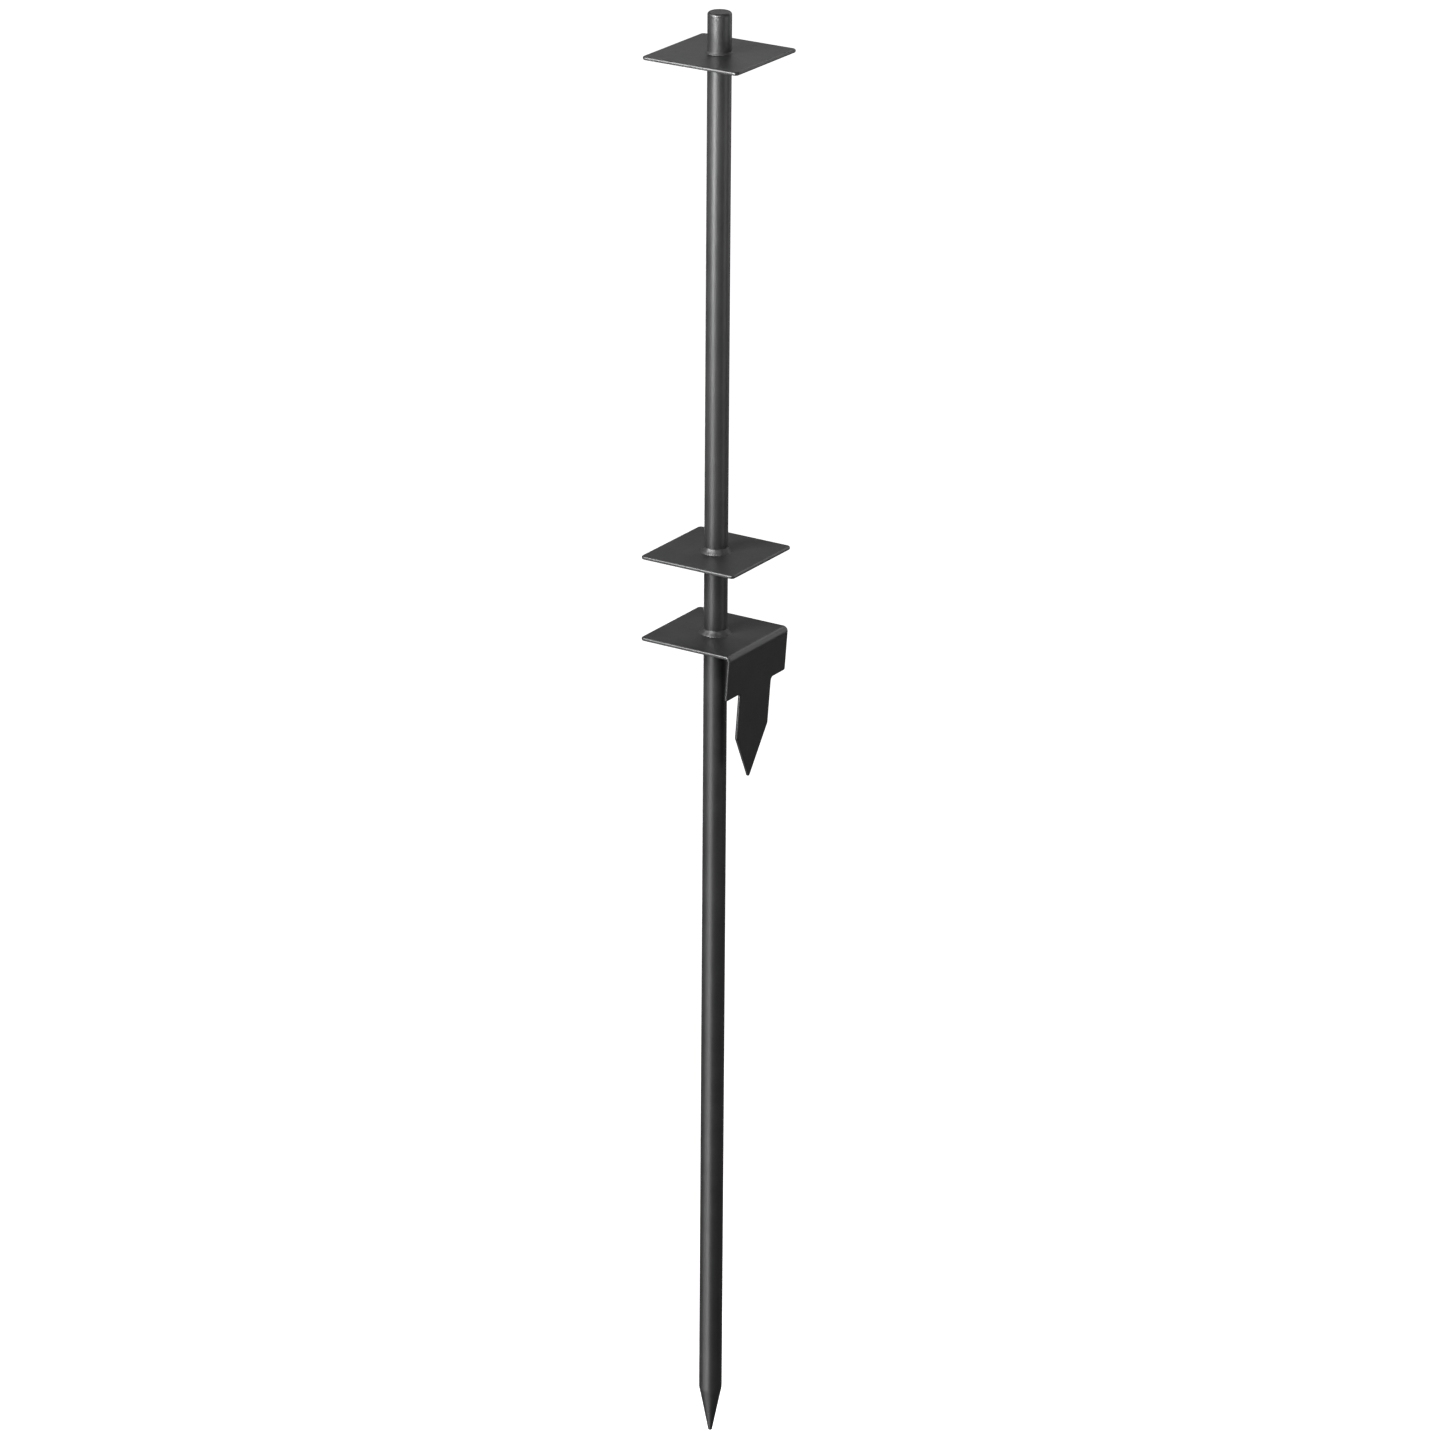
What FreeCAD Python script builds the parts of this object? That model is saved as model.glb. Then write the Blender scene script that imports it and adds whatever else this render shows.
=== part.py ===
"""Post anchor spike: a pointed round bar with two square post plates, a bent ground plate and weld beads.

Frame: millimetres, +Z up along the bar. The origin is on the bar's axis at the underside of the
ground plate, which is soil level. The flange of the ground plate hangs on the -Y side.
"""
import FreeCAD, Part
import math
import os

# --- driving dimensions (mm and degrees) ---

# round bar
rod_diameter = 16.0
rod_top = 427.5            # driving end
rod_bottom = -596.5        # tip of the point
rod_top_round = 1.8
point_length = 34.4
point_shoulder_round = 10.0
tip_diameter = 2.6
tip_round = 0.7

# all three sheet plates
plate_side = 73.0
sheet = 2.5
plate_corner = 3.0
edge_round = 1.15          # full rounding of the coated sheet's cut edges
hole_clearance = 0.25      # radial gap round the bar before welding

# heights of the plate undersides
ground_plate_height = 0.0
middle_plate_height = 57.5
upper_plate_height = 398.0

# flange and anti-turn tab of the ground plate, depths measured down from the plate's top face
flange_offset = 34.5       # outer face from the bar's axis, just below the bend
flange_lean = 4.25         # over-bend towards the bar
bend_outer_radius = 3.5
flange_depth = 31.8
flange_corner = 1.3
notch_corner = 2.2         # concave corner between flange and tab
tab_width = 38.6
tab_shoulder_depth = 64.5  # where the taper starts
tab_shoulder_corner = 1.5
tab_tip_depth = 98.8       # sharp tip, where the taper's two edges meet

# fillet welds between the bar and each plate's top face: reach out along the plate, reach up the bar
upper_weld_legs = (0.9, 1.3)
middle_weld_legs = (2.9, 3.7)
ground_weld_legs = (3.3, 3.4)
weld_hollow = 0.10         # how far the bead's face dips inside its chord, as a share of the chord

rod_radius = rod_diameter / 2
half_side = plate_side / 2
hole_radius = rod_radius + hole_clearance
ground_top = ground_plate_height + sheet


def vector(x, y, z):
    return FreeCAD.Vector(x, y, z)


def polygon_face(points):
    return Part.Face(Part.makePolygon(points + points[:1]))


def edges_near(shape, direction, places):
    """Straight edges of the shape along one direction that pass within 0.01 mm of any of the places."""
    found = []
    for edge in shape.Edges:
        if not isinstance(edge.Curve, Part.Line):
            continue
        if abs(edge.tangentAt(edge.FirstParameter).dot(direction)) < 0.999:
            continue
        if any(edge.distToShape(Part.Vertex(place))[0] < 0.01 for place in places):
            found.append(edge)
    return found


def rod_hole(height):
    """The cutter for a plate's hole."""
    return Part.makeCylinder(hole_radius, 3 * sheet, vector(0, 0, height - sheet))


def is_sharp(shape, edge):
    """True if the two faces that meet at the edge turn a corner there."""
    middle = edge.valueAt((edge.FirstParameter + edge.LastParameter) / 2)
    normals = [
        face.normalAt(*face.Surface.parameter(middle)) for face in shape.ancestorsOfType(edge, Part.Face)
    ]
    return len(normals) == 2 and abs(normals[0].dot(normals[1])) < 0.9


def is_on_hole(edge):
    """True if the edge lies on the wall of the bar's hole."""
    middle = edge.valueAt((edge.FirstParameter + edge.LastParameter) / 2)
    return math.hypot(middle.x, middle.y) < hole_radius + 0.01


def soften(plate):
    """Round the sheet's cut edges, leaving the hole sharp under the weld."""
    rims = [edge for edge in plate.Edges if is_sharp(plate, edge) and not is_on_hole(edge)]
    return plate.makeFillet(edge_round, rims)


def circles_at(shape, height):
    """The circular edges that lie at one height."""
    return [
        edge
        for edge in shape.Edges
        if isinstance(edge.Curve, Part.Circle) and abs(edge.BoundBox.Center.z - height) < 0.01
    ]


def ground_rod():
    """Solid round bar: rounded driving end, plain shank, long blunt-tipped point."""
    shoulder = rod_bottom + point_length
    shank = Part.makeCylinder(rod_radius, rod_top - shoulder, vector(0, 0, shoulder))
    point = Part.makeCone(tip_diameter / 2, rod_radius, point_length, vector(0, 0, rod_bottom))
    bar = shank.fuse(point)
    for height, radius in (
        (rod_top, rod_top_round),
        (shoulder, point_shoulder_round),
        (rod_bottom, tip_round),
    ):
        bar = bar.makeFillet(radius, circles_at(bar, height))
    return bar


def rounded_square(height, thickness):
    """A square slab centred on the bar with rounded corners."""
    slab = Part.makeBox(plate_side, plate_side, thickness, vector(-half_side, -half_side, height))
    upright = [edge for edge in slab.Edges if abs(edge.tangentAt(0).z) > 0.5]
    return slab.makeFillet(plate_corner, upright)


def post_plate(height):
    """A flat square plate that centres the hollow post on the bar."""
    return soften(rounded_square(height, sheet).cut(rod_hole(height)))


def bent_strip():
    """The ground plate's sheet before its outline is cut: flat, bend and leaning flange, full width."""
    lean = math.radians(flange_lean)
    centre_z = ground_top - bend_outer_radius
    gauge_z = ground_top - 2 * sheet
    reach = (bend_outer_radius - (centre_z - gauge_z) * math.sin(lean)) / math.cos(lean)
    centre_y = -flange_offset + reach
    inner_radius = bend_outer_radius - sheet
    drop = tab_tip_depth + sheet
    half_turn = (math.pi / 2 + lean) / 2

    def on_bend(radius, turn):
        """A point of the bend: turn 0 is straight up, and it turns towards -Y."""
        return vector(0, centre_y - radius * math.sin(turn), centre_z + radius * math.cos(turn))

    down = vector(0, math.sin(lean), -math.cos(lean)) * drop
    outer_start, outer_end = on_bend(bend_outer_radius, 0), on_bend(bend_outer_radius, 2 * half_turn)
    inner_start, inner_end = on_bend(inner_radius, 0), on_bend(inner_radius, 2 * half_turn)
    back_top = vector(0, half_side, ground_top)
    back_bottom = vector(0, half_side, ground_top - sheet)
    edges = [
        Part.makeLine(back_top, outer_start),
        Part.Arc(outer_start, on_bend(bend_outer_radius, half_turn), outer_end).toShape(),
        Part.makeLine(outer_end, outer_end + down),
        Part.makeLine(outer_end + down, inner_end + down),
        Part.makeLine(inner_end + down, inner_end),
        Part.Arc(inner_end, on_bend(inner_radius, half_turn), inner_start).toShape(),
        Part.makeLine(inner_start, back_bottom),
        Part.makeLine(back_bottom, back_top),
    ]
    section = Part.Face(Part.Wire(edges))
    section.translate(vector(-half_side, 0, 0))
    return section.extrude(vector(plate_side, 0, 0))


def flange_outline():
    """A block along Y whose outline, seen from -Y, is the flange with its shoulders and pointed tab."""
    half_tab = tab_width / 2
    front = -plate_side
    above = ground_top + sheet
    flange_end = ground_top - flange_depth
    taper_start = ground_top - tab_shoulder_depth
    tip = ground_top - tab_tip_depth
    right = [(half_side, above), (half_side, flange_end), (half_tab, flange_end), (half_tab, taper_start)]
    left = [(-x, z) for x, z in reversed(right)]
    points = [vector(x, front, z) for x, z in right + [(0, tip)] + left]
    block = polygon_face(points).extrude(vector(0, 2 * plate_side, 0))
    along = vector(0, 1, 0)
    for z, offset, radius in (
        (flange_end, half_side, flange_corner),
        (flange_end, half_tab, notch_corner),
        (taper_start, half_tab, tab_shoulder_corner),
    ):
        places = [vector(-offset, front, z), vector(offset, front, z)]
        block = block.makeFillet(radius, edges_near(block, along, places))
    return block


def plan_outline():
    """An upright block with the plate's rounded back corners, running past the flange in front."""
    tall = 2 * tab_tip_depth
    block = Part.makeBox(plate_side, 1.5 * plate_side, tall, vector(-half_side, -plate_side, -tall / 2))
    back = [vector(-half_side, half_side, 0), vector(half_side, half_side, 0)]
    return block.makeFillet(plate_corner, edges_near(block, vector(0, 0, 1), back))


def ground_plate():
    """One bent sheet: the plate at soil level, its flange and the anti-turn tab."""
    sheet_metal = bent_strip().common(flange_outline()).common(plan_outline())
    sheet_metal = sheet_metal.cut(rod_hole(ground_plate_height))
    return soften(sheet_metal.Solids[0])


def weld_bead(plate_top, legs):
    """A ring of fillet weld with a slightly hollow face, on the plate and round the bar."""
    outward, upward = legs
    root = vector(rod_radius, 0, plate_top)
    toe = root + vector(outward, 0, 0)
    crown = root + vector(0, 0, upward)
    face_middle = (toe + crown) * 0.5 - vector(upward, 0, outward) * weld_hollow
    edges = [
        Part.makeLine(root, toe),
        Part.Arc(toe, face_middle, crown).toShape(),
        Part.makeLine(crown, root),
    ]
    profile = Part.Face(Part.Wire(edges))
    return profile.revolve(vector(0, 0, 0), vector(0, 0, 1), 360)


def main():
    os.makedirs("parts", exist_ok=True)
    pieces = {
        "ground_rod": ground_rod(),
        "upper_plate": post_plate(upper_plate_height),
        "middle_plate": post_plate(middle_plate_height),
        "ground_plate": ground_plate(),
        "upper_weld": weld_bead(upper_plate_height + sheet, upper_weld_legs),
        "middle_weld": weld_bead(middle_plate_height + sheet, middle_weld_legs),
        "ground_weld": weld_bead(ground_top, ground_weld_legs),
    }
    for name, shape in pieces.items():
        solid = shape.Solids[0]
        print(name, "valid", solid.isValid(), "solids", len(shape.Solids), "volume", round(solid.Volume, 1))
        solid.exportStep(f"parts/{name}.step")


main()
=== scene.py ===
"""Post anchor spike: coated surfaces, weld beads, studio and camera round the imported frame. Metres, +Z up."""

import math
import random

import bmesh
import bpy
from mathutils import Matrix, Vector, noise


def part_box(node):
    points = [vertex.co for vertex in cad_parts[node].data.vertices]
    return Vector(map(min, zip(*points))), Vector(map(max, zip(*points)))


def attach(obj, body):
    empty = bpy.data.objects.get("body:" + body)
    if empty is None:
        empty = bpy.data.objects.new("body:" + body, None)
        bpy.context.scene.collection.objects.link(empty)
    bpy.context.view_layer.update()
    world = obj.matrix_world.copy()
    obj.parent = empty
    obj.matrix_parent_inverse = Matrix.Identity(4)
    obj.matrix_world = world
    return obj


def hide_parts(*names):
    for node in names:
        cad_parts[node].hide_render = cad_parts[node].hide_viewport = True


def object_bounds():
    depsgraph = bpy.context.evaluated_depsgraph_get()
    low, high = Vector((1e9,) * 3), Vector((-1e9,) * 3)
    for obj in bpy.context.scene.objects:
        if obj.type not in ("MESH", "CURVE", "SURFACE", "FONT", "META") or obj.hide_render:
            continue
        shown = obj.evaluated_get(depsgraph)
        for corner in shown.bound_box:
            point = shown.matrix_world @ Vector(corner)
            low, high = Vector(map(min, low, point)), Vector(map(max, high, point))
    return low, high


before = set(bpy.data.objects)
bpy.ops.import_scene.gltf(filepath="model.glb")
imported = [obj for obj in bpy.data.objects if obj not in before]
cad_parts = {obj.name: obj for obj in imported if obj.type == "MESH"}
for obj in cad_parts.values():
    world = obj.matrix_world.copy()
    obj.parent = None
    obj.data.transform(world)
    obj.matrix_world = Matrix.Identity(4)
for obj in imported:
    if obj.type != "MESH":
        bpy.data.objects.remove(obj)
cad_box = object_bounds()

rod_low, rod_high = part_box("ground_rod")
rod_radius = (rod_high.x - rod_low.x) / 2

MM = 0.001
BEAD_ACROSS = 18           # steps from a bead's toe to its crown
BEAD_SINK = 0.15 * MM      # how far a bead goes into the plate and the bar


# --- helpers -----------------------------------------------------------------------------------

def object_from(bm, name):
    """A mesh object linked to the scene, made from a finished bmesh."""
    mesh = bpy.data.meshes.new(name)
    bm.to_mesh(mesh)
    bm.free()
    made = bpy.data.objects.new(name, mesh)
    bpy.context.scene.collection.objects.link(made)
    return made


def wrapped_noise(angle, height, turns, seed):
    """Smooth noise round a ring: the same at angle 0 and at a full turn."""
    spot = Vector((math.cos(angle) * turns, math.sin(angle) * turns, height + seed))
    return noise.noise(spot)


# --- materials ---------------------------------------------------------------------------------

class Nodes:
    """Short calls for building one material's node tree in real-world scale."""

    def __init__(self, name):
        self.material = bpy.data.materials.new(name)
        self.material.use_nodes = True
        self.tree = self.material.node_tree
        self.shader = self.tree.nodes["Principled BSDF"]
        self.place = self.tree.nodes.new("ShaderNodeTexCoord").outputs["Object"]

    def link(self, output, socket):
        """One wire from an output to an input."""
        self.tree.links.new(output, socket)

    def noise(self, size, detail=2.0, roughness=0.5):
        """Noise whose features are about size metres across."""
        texture = self.tree.nodes.new("ShaderNodeTexNoise")
        texture.inputs["Scale"].default_value = 1.0 / size
        texture.inputs["Detail"].default_value = detail
        texture.inputs["Roughness"].default_value = roughness
        self.link(self.place, texture.inputs["Vector"])
        return texture.outputs["Fac"]

    def ramp(self, value, low, high):
        """Value stretched from low..high to 0..1, and clamped there."""
        node = self.tree.nodes.new("ShaderNodeMapRange")
        node.inputs["From Min"].default_value = low
        node.inputs["From Max"].default_value = high
        self.link(value, node.inputs["Value"])
        return node.outputs["Result"]

    def spread(self, value, low, high):
        """Value 0..1 spread to low..high."""
        node = self.tree.nodes.new("ShaderNodeMapRange")
        node.inputs["To Min"].default_value = low
        node.inputs["To Max"].default_value = high
        self.link(value, node.inputs["Value"])
        return node.outputs["Result"]

    def math(self, operation, first, second):
        """The result of one sum on two values; each is a number or a socket."""
        node = self.tree.nodes.new("ShaderNodeMath")
        node.operation = operation
        for socket, value in zip(node.inputs, (first, second)):
            if isinstance(value, (int, float)):
                socket.default_value = value
            else:
                self.link(value, socket)
        return node.outputs["Value"]

    def mix(self, factor, first, second):
        """Colour from first to second; either is a colour or a socket."""
        node = self.tree.nodes.new("ShaderNodeMix")
        node.data_type = "RGBA"
        self.link(factor, node.inputs["Factor"])
        for socket, value in zip(node.inputs[6:8], (first, second)):
            if isinstance(value, tuple):
                socket.default_value = (*value, 1.0)
            else:
                self.link(value, socket)
        return node.outputs[2]

    def bump(self, height, depth, below=None):
        """Bump of real depth in metres, stacked on another normal if one is given."""
        node = self.tree.nodes.new("ShaderNodeBump")
        node.inputs["Distance"].default_value = depth
        node.inputs["Strength"].default_value = 1.0
        self.link(height, node.inputs["Height"])
        if below is not None:
            self.link(below, node.inputs["Normal"])
        return node.outputs["Normal"]

    def edges(self, radius):
        """About 1 where the surface turns sharply within the radius, and 0 on the flat."""
        bevel = self.tree.nodes.new("ShaderNodeBevel")
        bevel.samples = 6
        bevel.inputs["Radius"].default_value = radius
        geometry = self.tree.nodes.new("ShaderNodeNewGeometry")
        dot = self.tree.nodes.new("ShaderNodeVectorMath")
        dot.operation = "DOT_PRODUCT"
        self.link(bevel.outputs["Normal"], dot.inputs[0])
        self.link(geometry.outputs["Normal"], dot.inputs[1])
        return self.ramp(self.math("SUBTRACT", 1.0, dot.outputs["Value"]), 0.01, 0.12)


def powder_coat(name, dark=(0.006, 0.006, 0.0062), pale=(0.011, 0.011, 0.0113), gloss=(0.40, 0.47)):
    """Satin black powder coat: fine grain, faint orange peel, cloudy sheen, edges painted lighter as a thinner
    coat and a painted highlight.
    """
    speck_grey = (0.026, 0.026, 0.0265)
    thin_coat_and_highlight_grey = (0.040, 0.040, 0.041)
    coat = Nodes(name)
    cloud = coat.noise(22 * MM, detail=3.0)
    grain = coat.noise(0.55 * MM, detail=2.0, roughness=0.6)
    speck = coat.ramp(coat.noise(0.9 * MM, detail=1.0), 0.62, 0.72)
    colour = coat.mix(coat.ramp(cloud, 0.3, 0.7), dark, pale)
    colour = coat.mix(coat.math("MULTIPLY", speck, 0.3), colour, speck_grey)
    # Edges painted lighter: partly a thinner coat on sharp edges, partly a painted highlight along them.
    colour = coat.mix(coat.math("MULTIPLY", coat.edges(0.5 * MM), 0.4), colour, thin_coat_and_highlight_grey)
    coat.link(colour, coat.shader.inputs["Base Color"])
    handling = coat.noise(6 * MM, detail=4.0, roughness=0.65)
    sheen = coat.math("ADD", coat.math("MULTIPLY", handling, 0.7), coat.math("MULTIPLY", grain, 0.3))
    coat.link(coat.spread(coat.ramp(sheen, 0.3, 0.7), *gloss), coat.shader.inputs["Roughness"])
    peel = coat.bump(coat.noise(2.4 * MM, detail=1.0), 0.006 * MM)
    coat.link(coat.bump(grain, 0.006 * MM, below=peel), coat.shader.inputs["Normal"])
    coat.shader.inputs["IOR"].default_value = 1.5
    return coat.material


# --- weld beads --------------------------------------------------------------------------------

def bezier(points, share):
    """The point at share 0..1 of a cubic curve with four control points."""
    rest = 1 - share
    weights = (rest ** 3, 3 * rest ** 2 * share, 3 * rest * share ** 2, share ** 3)
    return [sum(w * p[axis] for w, p in zip(weights, points)) for axis in (0, 1)]


def bead_face(outward, upward):
    """Control points of a bead's face: nearly straight, a little full at the toe and hollow at the crown."""
    return ((outward, 0.0), (0.70 * outward, 0.34 * upward), (0.28 * outward, 0.66 * upward), (0.0, upward))


def bead_column(angle, legs, seed, stop, ripples, ripple_mm):
    """The bead's outline at one angle, as points measured out from the bar's wall and up from the plate.

    Its toe and crown keep to 0.84 to 1 of the CAD legs and never pass them. Its face carries
    slow lumps, faint ripples, and a shallow crater at the angle where the weld stops.
    """
    reach_out, reach_up = legs
    wander = wrapped_noise(angle, 0.0, 1.6, seed)
    outward = reach_out * (0.94 + 0.10 * wander + 0.06 * wrapped_noise(angle, 3.0, 4.0, seed))
    upward = reach_up * (0.94 + 0.12 * wrapped_noise(angle, 7.0, 2.2, seed))
    face = bead_face(min(outward, reach_out), min(upward, reach_up))
    from_stop = (angle - stop + math.pi) % (2 * math.pi) - math.pi
    crater = math.exp(-(from_stop * rod_radius / (1.2 * reach_out)) ** 2)
    lump = 0.03 * reach_out * wrapped_noise(angle, 11.0, 3.2, seed)
    column = []
    for j in range(BEAD_ACROSS + 1):
        share = j / BEAD_ACROSS
        belly = math.sin(math.pi * share) ** 2
        phase = ripples * angle / (2 * math.pi) + 0.30 * belly + 0.35 * wander
        ripple = ripple_mm * MM * 0.5 * math.cos(2 * math.pi * phase)
        swell = belly * (lump - ripple - 0.06 * reach_out * crater)
        out, up = bezier(face, share)
        column.append((out + swell, up + swell))
    toe_out, crown_up = column[0][0], column[-1][1]
    return [(toe_out, -BEAD_SINK)] + column + [(-BEAD_SINK, crown_up), (-BEAD_SINK, -BEAD_SINK)]


def closed_ring(name, angles, columns, base):
    """A smooth ring round the bar: one column of points at each angle, joined all the way round."""
    bm = bmesh.new()
    rings = []
    for angle, column in zip(angles, columns):
        rings.append([
            bm.verts.new((
                (rod_radius + out) * math.cos(angle),
                (rod_radius + out) * math.sin(angle),
                base + up,
            ))
            for out, up in column
        ])
    for here, there in zip(rings, rings[1:] + rings[:1]):
        for j in range(len(here)):
            k = (j + 1) % len(here)
            bm.faces.new((here[j], there[j], there[k], here[k]))
    bmesh.ops.recalc_face_normals(bm, faces=bm.faces)
    ring = object_from(bm, name)
    for face in ring.data.polygons:
        face.use_smooth = True
    return ring


def weld_bead(name, node, ripples, ripple_mm, seed):
    """A hand-laid fillet bead that stands for a CAD weld ring: slightly lumpy, uneven toes, one stop."""
    low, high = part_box(node)
    legs = (high.x - rod_radius, high.z - low.z)
    random.seed(seed)
    stop = random.uniform(0, 2 * math.pi)
    around = 10 * ripples
    angles = [2 * math.pi * i / around for i in range(around)]
    columns = [bead_column(angle, legs, seed, stop, ripples, ripple_mm) for angle in angles]
    piece = closed_ring(name, angles, columns, low.z)
    piece.data.materials.append(bead_coat)
    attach(piece, "root")
    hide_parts(node)


# --- camera ------------------------------------------------------------------------------------

def place_camera():
    """A long lens, a little above the object, at the azimuth that shows the flange on the right."""
    azimuth, pitch, roll = math.radians(-57.565), math.radians(21.242), math.radians(0.412)
    distance = 4.0301
    aim_height = -0.0607
    side_step = 0.0034
    back = Vector((
        math.sin(azimuth) * math.cos(pitch),
        -math.cos(azimuth) * math.cos(pitch),
        math.sin(pitch),
    ))
    level_right = Vector((math.cos(azimuth), math.sin(azimuth), 0))
    level_up = back.cross(level_right)
    right = level_right * math.cos(roll) + level_up * math.sin(roll)
    up = level_up * math.cos(roll) - level_right * math.sin(roll)
    data = bpy.data.cameras.new("photo_camera")
    data.lens = 150
    data.sensor_width = 36
    data.clip_end = 100
    camera = bpy.data.objects.new("photo_camera", data)
    bpy.context.scene.collection.objects.link(camera)
    camera.matrix_world = Matrix((
        (right.x, up.x, back.x, 0),
        (right.y, up.y, back.y, 0),
        (right.z, up.z, back.z, 0),
        (0, 0, 0, 1),
    ))
    camera.location = back * distance + level_right * side_step + Vector((0, 0, aim_height))
    bpy.context.scene.camera = camera


# --- studio ------------------------------------------------------------------------------------

def soft_box(name, azimuth, distance, height, aim_height, size, watts):
    """A soft box that stands at a direction in degrees and faces a height on the bar's axis."""
    turn = math.radians(azimuth)
    place = Vector((math.sin(turn) * distance, -math.cos(turn) * distance, height))
    data = bpy.data.lights.new(name, "AREA")
    data.shape = "RECTANGLE"
    data.size, data.size_y = size
    data.energy = watts
    light = bpy.data.objects.new(name, data)
    bpy.context.scene.collection.objects.link(light)
    light.location = place
    away = place - Vector((0, 0, aim_height))
    light.rotation_euler = away.to_track_quat("Z", "Y").to_euler()
    light.visible_camera = False


def pale_stage():
    """A pale floor well below the point and a pale surround, seen by the camera but not by the object."""
    bm = bmesh.new()
    bmesh.ops.create_circle(bm, cap_ends=True, segments=96, radius=18)
    floor = object_from(bm, "floor")
    floor.location.z = cad_box[0].z - 0.8
    bm = bmesh.new()
    bmesh.ops.create_icosphere(bm, subdivisions=5, radius=20)
    bmesh.ops.reverse_faces(bm, faces=bm.faces)
    surround = object_from(bm, "surround")
    pale = bpy.data.materials.new("pale_stage")
    pale.use_nodes = True
    shader = pale.node_tree.nodes["Principled BSDF"]
    shader.inputs["Base Color"].default_value = (0.8, 0.8, 0.8, 1)
    shader.inputs["Roughness"].default_value = 1.0
    shader.inputs["Specular IOR Level"].default_value = 0.0
    shader.inputs["Emission Color"].default_value = (1, 1, 1, 1)
    shader.inputs["Emission Strength"].default_value = 0.97
    for part in (floor, surround):
        part.data.materials.append(pale)
        part.visible_diffuse = False
        part.visible_glossy = False
        part.visible_shadow = False
        part.visible_transmission = False


def studio():
    """A high wing and lower keys on the left, weaker soft boxes in front, on the right and behind."""
    # name, azimuth, distance, height, height faced, (width, height) of the box, watts
    soft_box("wing_top", -114, 1.23, 0.86, 0, (0.40, 0.62), 50)
    soft_box("key", -101, 1.45, -0.39, 0, (0.40, 0.62), 8.8)
    soft_box("key_low", -93, 1.15, -0.96, 0, (0.40, 0.62), 7.2)
    soft_box("wing_low", -127, 1.15, -0.96, 0, (0.40, 0.62), 2.9)
    soft_box("floor_left", -101, 0.70, -1.21, 0, (0.8, 0.5), 3.0)
    soft_box("near_left", -101, 0.55, 0.20, 0.20, (0.14, 0.15), 2.6)
    soft_box("near_top", -88, 0.55, 0.50, 0.50, (0.14, 0.15), 6.5)
    soft_box("front", 10, 1.60, 0.00, 0, (0.6, 0.8), 5.2)
    soft_box("right", 60, 1.55, 0.39, 0, (0.7, 1.5), 6.0)
    soft_box("far_low", 132, 1.60, -0.50, -0.50, (0.4, 0.9), 7.0)
    soft_box("far_right_top", 90, 1.26, 0.99, 0, (0.7, 0.7), 3.0)
    soft_box("back_top", 125, 1.27, 1.27, 0, (0.7, 0.6), 1.8)
    world = bpy.data.worlds.new("soft_fill")
    world.use_nodes = True
    world.node_tree.nodes["Background"].inputs["Color"].default_value = (1, 1, 1, 1)
    world.node_tree.nodes["Background"].inputs["Strength"].default_value = 0.15
    bpy.context.scene.world = world
    bpy.context.scene.view_settings.view_transform = "Standard"


# --- build -------------------------------------------------------------------------------------

rod_coat = powder_coat("rod_coat")
sheet_coat = powder_coat("sheet_coat", gloss=(0.36, 0.43))
bead_coat = powder_coat("bead_coat", gloss=(0.47, 0.54))
for node, coat in (
    ("ground_rod", rod_coat),
    ("upper_plate", sheet_coat),
    ("middle_plate", sheet_coat),
    ("ground_plate", sheet_coat),
):
    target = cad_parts[node]
    target.data.materials.clear()
    target.data.materials.append(coat)

weld_bead("upper_weld_bead", "upper_weld", ripples=16, ripple_mm=0.01, seed=3)
weld_bead("middle_weld_bead", "middle_weld", ripples=14, ripple_mm=0.02, seed=11)
weld_bead("ground_weld_bead", "ground_weld", ripples=14, ripple_mm=0.03, seed=5)

place_camera()
pale_stage()
studio()
